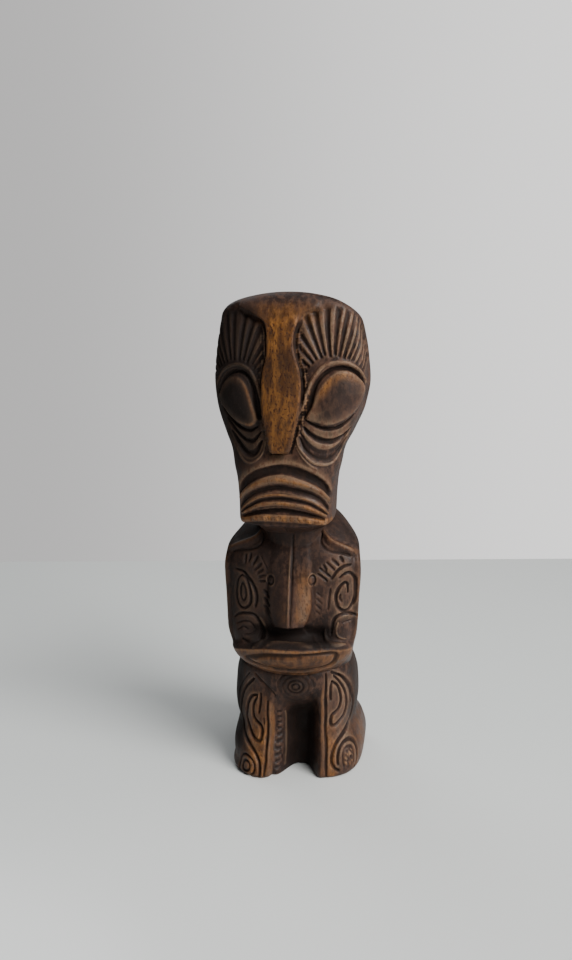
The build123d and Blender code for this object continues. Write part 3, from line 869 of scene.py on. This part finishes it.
# ---- meshes ----
def build_piece(name, block, turn):
    """A closed mesh in metres from a carved block; its colouring goes along as attributes."""
    rows, columns = block.up.shape
    caps = block.points[[0, -1]].mean(axis=1)
    x, y, z = np.vstack([block.points.reshape(-1, 3), caps]).T
    cos, sin = math.cos(math.radians(turn)), math.sin(math.radians(turn))
    points = MM * np.stack([x * cos - y * sin, x * sin + y * cos, z], axis=-1)

    index = np.arange(rows * columns).reshape(rows, columns)
    right = np.roll(index, -1, axis=1)
    quads = np.stack([index[:-1], right[:-1], right[1:], index[1:]], axis=-1).reshape(-1, 4)
    bottom = [(rows * columns, int(b), int(a)) for a, b in zip(index[0], right[0])]
    top = [(rows * columns + 1, int(a), int(b)) for a, b in zip(index[-1], right[-1])]
    mesh = bpy.data.meshes.new(name)
    mesh.from_pydata(points.tolist(), [], quads.tolist() + bottom + top)
    mesh.shade_smooth()

    fine = block.relief - blur(block.relief, 14)
    broad = block.relief - blur(block.relief, 90)
    raised = np.clip(0.5 + 0.6 * fine + 0.6 * broad, 0, 1)
    for label, values in (("wear_and_highlight", block.wear_and_highlight), ("stain_and_shade", block.stain_and_shade), ("pale", block.pale),
                          ("raised", raised)):
        attribute = mesh.attributes.new(label, "FLOAT", "POINT")
        flat = np.concatenate([values.reshape(-1), values[[0, -1]].mean(axis=1)])
        attribute.data.foreach_set("value", flat.astype(np.float32))
    return add_object(name, mesh)


# ---- materials ----
STAINED_DARK = (0.019, 0.0095, 0.0072, 1)
STAINED_LIGHT = (0.045, 0.0235, 0.018, 1)
STAINED_REDDISH = (0.09, 0.046, 0.03, 1)
# Near black for stain, and for painted shade.
STAIN_AND_SHADE_BLACK = (0.0075, 0.0042, 0.0033, 1)
GOLD_BRIGHT = (0.312, 0.13, 0.031, 1)
GOLD_DEEP = (0.125, 0.041, 0.009, 1)
GOLD_BLOT = (0.055, 0.021, 0.009, 1)
TAN_BRIGHT = (0.385, 0.245, 0.147, 1)
TAN_DEEP = (0.115, 0.058, 0.035, 1)
PIT_BROWN = (0.032, 0.01, 0.005, 1)
# Dark brown for stain in the cuts, and for painted shade there.
CUT_BROWN = (0.011, 0.0062, 0.0046, 1)
DOWEL_BRIGHT = (0.62, 0.43, 0.26, 1)
DOWEL_DEEP = (0.42, 0.26, 0.14, 1)
TABLE_DIM = (0.78, 0.82, 0.81, 1)
TABLE_BRIGHT = (0.82, 0.845, 0.84, 1)


class Nodes:
    """Short hand for building a node tree."""

    def __init__(self, tree):
        self.tree = tree

    def new(self, kind, sources=(), **settings):
        """A node; sources gives a number, a colour or an output for each socket it names."""
        node = self.tree.nodes.new("ShaderNode" + kind)
        for label, value in settings.items():
            setattr(node, label, value)
        for socket, source in dict(sources).items():
            self.link(source, node.inputs[socket])
        return node

    def link(self, source, target):
        if isinstance(source, bpy.types.NodeSocket):
            self.tree.links.new(source, target)
        else:
            target.default_value = source

    def math(self, operation, a, b):
        return self.new("Math", {0: a, 1: b}, operation=operation).outputs[0]

    def times(self, a, b):
        return self.math("MULTIPLY", a, b)

    def ramp(self, value, low, high, low_value=0, high_value=1, shape="SMOOTHSTEP"):
        sources = enumerate((value, low, high, low_value, high_value))
        return self.new("MapRange", sources, interpolation_type=shape).outputs[0]

    def mix(self, share, a, b):
        node = self.new("Mix", {"Factor": share}, data_type="RGBA")
        for socket, source in zip([socket for socket in node.inputs if socket.type == "RGBA"], (a, b)):
            self.link(source, socket)
        return [socket for socket in node.outputs if socket.type == "RGBA"][0]


class Material(Nodes):
    """Short hand for a new material with one shader."""

    def __init__(self, name):
        self.material = bpy.data.materials.new(name)
        self.material.use_nodes = True
        super().__init__(self.material.node_tree)
        self.shader = self.tree.nodes["Principled BSDF"]
        self.place = self.new("TexCoord").outputs["Object"]

    def set(self, label, source):
        self.link(source, self.shader.inputs[label])

    def attribute(self, label):
        return self.new("Attribute", attribute_name=label).outputs["Fac"]

    def noise(self, per_mm, detail=3, roughness=0.55, distortion=0):
        """Noise whose frequency is given per millimetre along x, y and z."""
        scale = [1000 * frequency for frequency in per_mm]
        mapping = self.new("Mapping", {"Vector": self.place, "Scale": scale})
        sources = {"Vector": mapping.outputs[0], "Scale": 1, "Detail": detail,
                   "Roughness": roughness, "Distortion": distortion}
        return self.new("TexNoise", sources).outputs["Fac"]

    def bump(self, height, distance):
        bump = self.new("Bump", {"Height": height, "Strength": 1, "Distance": distance})
        self.set("Normal", bump.outputs["Normal"])


def carved_wood():
    """Dark stained wood, rubbed through on high places, with stain and painted shade dark in the cuts;
    its attributes also bring painted shade, highlights and sheen.
    """
    n = Material("carved_wood")
    wear_and_highlight, stain_and_shade, raised, pale = [n.attribute(label) for label in ("wear_and_highlight", "stain_and_shade", "raised", "pale")]

    cloud = n.noise((0.14, 0.14, 0.09), detail=4)
    mottle = n.noise((0.8, 0.8, 0.45), detail=5, roughness=0.62)
    streak = n.noise((1.1, 1.1, 0.12), detail=4, distortion=0.5)
    blot = n.noise((0.42, 0.42, 0.16), detail=3, distortion=0.3)
    pore_noise = n.noise((2.2, 2.2, 1.2), detail=1)
    fleck_noise = n.noise((3, 3, 3), detail=3, roughness=0.65)

    body = n.mix(n.ramp(cloud, 0.35, 0.65), STAINED_DARK, STAINED_LIGHT)
    body = n.mix(n.ramp(mottle, 0.44, 0.62, 0, 0.75), body, STAINED_REDDISH)
    golden = n.mix(n.ramp(streak, 0.34, 0.7, 0, 0.7), GOLD_BRIGHT, GOLD_DEEP)
    golden = n.mix(n.ramp(blot, 0.43, 0.6, 0, 0.66), golden, GOLD_BLOT)
    tan = n.mix(n.ramp(mottle, 0.36, 0.64), TAN_BRIGHT, TAN_DEEP)
    # Pale tan for worn edges and dots, and for painted sheen and glints.
    golden = n.mix(n.times(pale, 0.8), golden, tan)

    high = n.ramp(raised, 0.53, 0.76)
    high = n.times(high, n.ramp(mottle, 0.38, 0.6, 0.3, 1))
    colour = n.mix(high, body, tan)
    # Gold where rubbed through, and where a highlight is painted.
    worn = n.times(wear_and_highlight, n.ramp(mottle, 0.34, 0.56, 0.42, 1))
    colour = n.mix(worn, colour, golden)
    # Near black where stained, and where shade is painted.
    colour = n.mix(n.times(stain_and_shade, 0.85), colour, STAIN_AND_SHADE_BLACK)

    pores = n.times(n.ramp(pore_noise, 0.585, 0.64), wear_and_highlight)
    flecks = n.ramp(fleck_noise, 0.58, 0.68, 0, 0.6)
    pits = n.math("MAXIMUM", pores, flecks)
    colour = n.mix(n.times(pits, 0.8), colour, PIT_BROWN)
    # Dark in the cuts: stain settled there, and painted shade.
    low = n.ramp(raised, 0.48, 0.16)
    colour = n.mix(n.times(low, 0.74), colour, CUT_BROWN)
    n.set("Base Color", colour)

    rough = n.ramp(mottle, 0.3, 0.7, 0.38, 0.56)
    rough = n.math("ADD", rough, n.times(n.math("MAXIMUM", low, stain_and_shade), 0.25))
    n.set("Roughness", rough)
    n.set("Specular IOR Level", 0.22)

    height = n.times(streak, 0.25)
    height = n.math("ADD", height, n.times(mottle, 0.6))
    height = n.math("SUBTRACT", height, n.times(pits, 0.45))
    n.bump(height, 0.00018)
    return n.material


def plain_wood():
    """Pale turned dowel with fine straight grain."""
    n = Material("dowel_wood")
    grain = n.noise((3, 3, 0.12), detail=4, distortion=0.3)
    colour = n.mix(n.ramp(grain, 0.35, 0.65), DOWEL_BRIGHT, DOWEL_DEEP)
    n.set("Base Color", colour)
    n.set("Roughness", n.ramp(grain, 0.3, 0.7, 0.5, 0.65))
    n.bump(grain, 0.00005)
    return n.material


def floor_surface():
    """Pale, slightly glossy table top, nearly even in tone."""
    n = Material("pale_floor")
    tone = n.noise((0.004, 0.004, 0.004), detail=2)
    colour = n.mix(n.ramp(tone, 0.3, 0.7), TABLE_DIM, TABLE_BRIGHT)
    n.set("Base Color", colour)
    n.set("Roughness", 0.18)
    return n.material


# ---- stage, camera, light ----
VIEW_AZIMUTH = 8               # degrees, the camera stands a little towards +X
VIEW_PITCH = 10                # degrees below level
VIEW_DISTANCE = 0.226          # level distance from the peg axis, metres
VIEW_HEIGHT = 0.113
VIEW_OFFSET = 0.003            # the peg axis lies this far right of the lens axis
LENS = 33.75                   # focal length, millimetres
TABLE_TURN = VIEW_AZIMUTH + 1.2    # its far edge slopes a little in view
TABLE_FAR = 0.193              # the table top ends this far behind the figure, metres
TABLE_NEAR = -1.2
TABLE_HALF_WIDTH = 1.6

# Name, azimuth, elevation (degrees); distance, size (metres); watts; colour.
LIGHTS = [
    ("window", 56, 36, 0.9, 0.6, 11, (1, 0.98, 0.95)),
    ("behind", -140, 45, 0.9, 0.5, 1.8, (0.96, 0.98, 1)),
    ("ceiling", 70, 74, 1, 1.2, 4.2, (0.98, 0.99, 1)),
]
LIGHT_CENTRE = Vector((0, 0, 0.06))
# Range of directions it brightens over, dim colour, bright colour, strength.
WALL = (-0.45, 0.25, (0.42, 0.413, 0.41, 1), (0.94, 0.93, 0.92, 1), 1.45)
ROOM = (-0.05, 1, (0.03, 0.03, 0.03, 1), (0.5, 0.49, 0.48, 1), 1)
# Range of directions towards +Y, and the range towards +X that lights the same.
BEHIND = (0.55, 0.95, -1, 0.62)


def add_object(name, data):
    """A new object in the scene that shows this data."""
    thing = bpy.data.objects.new(name, data)
    bpy.context.scene.collection.objects.link(thing)
    return thing


def add_camera():
    data = bpy.data.cameras.new("camera")
    data.lens = LENS
    data.clip_start = 0.01
    camera = add_object("camera", data)
    bpy.context.scene.camera = camera
    azimuth, pitch = math.radians(VIEW_AZIMUTH), math.radians(VIEW_PITCH)
    level = Vector((-math.sin(azimuth), math.cos(azimuth), 0))
    right = Vector((math.cos(azimuth), math.sin(azimuth), 0))
    camera.location = -VIEW_DISTANCE * level - VIEW_OFFSET * right + Vector((0, 0, VIEW_HEIGHT))
    look = level * math.cos(pitch) - Vector((0, 0, math.sin(pitch)))
    camera.rotation_euler = look.to_track_quat("-Z", "Y").to_euler()


def add_table(material):
    """A pale table top that ends a little way behind the figure."""
    half, far, close = TABLE_HALF_WIDTH, TABLE_FAR, TABLE_NEAR
    mesh = bpy.data.meshes.new("table_top")
    corners = [(-half, close, 0), (half, close, 0), (half, far, 0), (-half, far, 0)]
    mesh.from_pydata(corners, [], [(0, 1, 2, 3)])
    mesh.materials.append(material)
    table = add_object("table_top", mesh)
    table.rotation_euler.z = math.radians(TABLE_TURN)


def add_light(name, azimuth, elevation, distance, size, power, colour):
    data = bpy.data.lights.new(name, "AREA")
    data.shape = "DISK"
    data.size = size
    data.energy = power
    data.color = colour
    light = add_object(name, data)
    a, e = math.radians(azimuth), math.radians(elevation)
    away = Vector((math.sin(a) * math.cos(e), -math.cos(a) * math.cos(e), math.sin(e)))
    light.location = LIGHT_CENTRE + distance * away
    light.rotation_euler = (-away).to_track_quat("-Z", "Y").to_euler()


def add_world():
    """A pale wall for the camera; as light, the room is bright towards +X and, less, towards +Y."""
    world = bpy.data.worlds.new("pale_room")
    world.use_nodes = True
    n = Nodes(world.node_tree)
    towards = n.new("SeparateXYZ", {0: n.new("TexCoord").outputs["Generated"]}).outputs
    behind = n.ramp(towards["Y"], *BEHIND, shape="LINEAR")
    lit = n.math("MAXIMUM", towards["X"], behind)
    shaders = [n.new("LightPath").outputs["Is Camera Ray"]]
    for side, (low, high, dim, bright, strength) in ((lit, ROOM), (towards["X"], WALL)):
        colour = n.mix(n.ramp(side, low, high), dim, bright)
        shaders.append(n.new("Background", {"Color": colour, "Strength": strength}).outputs[0])
    mixed = n.new("MixShader", enumerate(shaders))
    n.link(mixed.outputs[0], n.tree.nodes["World Output"].inputs["Surface"])
    bpy.context.scene.world = world


# ---- put together ----
def main():
    add_camera()
    add_table(floor_surface())
    for light in LIGHTS:
        add_light(*light)
    add_world()

    wood = carved_wood()
    for node, carve, turn in (("head", carve_head, HEAD_TURN), ("torso", carve_torso, 0),
                              ("lower_body", carve_lower_body, 0)):
        piece = build_piece("carved_" + node, carve(), turn)
        piece.data.materials.append(wood)
        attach(piece, "root")
        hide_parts(node)

    dowel_material = plain_wood()
    for node in ("neck_dowel", "waist_dowel"):
        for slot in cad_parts[node].material_slots:
            slot.material = dowel_material


main()
